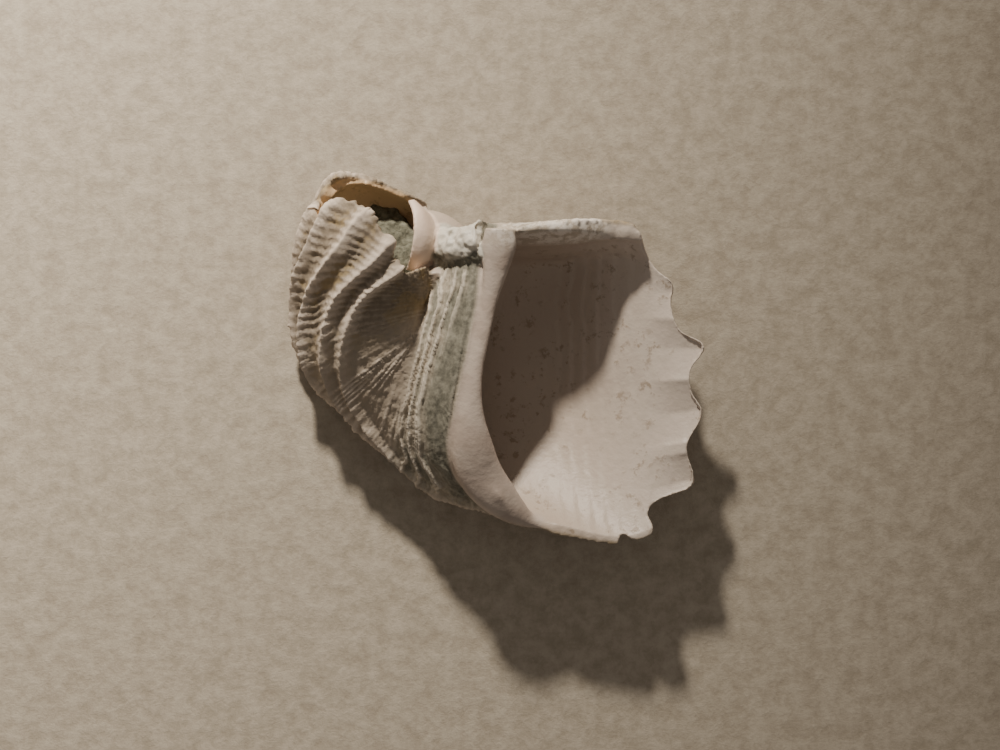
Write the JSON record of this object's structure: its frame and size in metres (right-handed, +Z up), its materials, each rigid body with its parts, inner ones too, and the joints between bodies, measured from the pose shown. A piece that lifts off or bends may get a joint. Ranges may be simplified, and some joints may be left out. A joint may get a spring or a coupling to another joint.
{
  "type": "sea snail shell",
  "caption": "Weathered sea snail shell lying on its back, with a wide lobed mouth, ribbed body whorl, broken early whorl and a plug of dried silt.",
  "frame": {"origin": "middle of the shell's bounding box, on the surface that it lies on", "axes": "+Z up out of the mouth, +X from the ribbed whorl to the lobed outer lip, +Y towards the straight broken edge of the mouth"},
  "size_m": [0.0374, 0.034, 0.0126],
  "materials": {
    "shell_lime": "matt weathered lime outside with brown and ochre dirt in the grooves, smooth off-white satin inside the mouth",
    "dried_silt": "dry, rough, grey-green and grainy"
  },
  "bodies": {
    "root": {"shell": "shell_lime", "silt_plug": "dried_silt"}
  },
  "joints": []
}
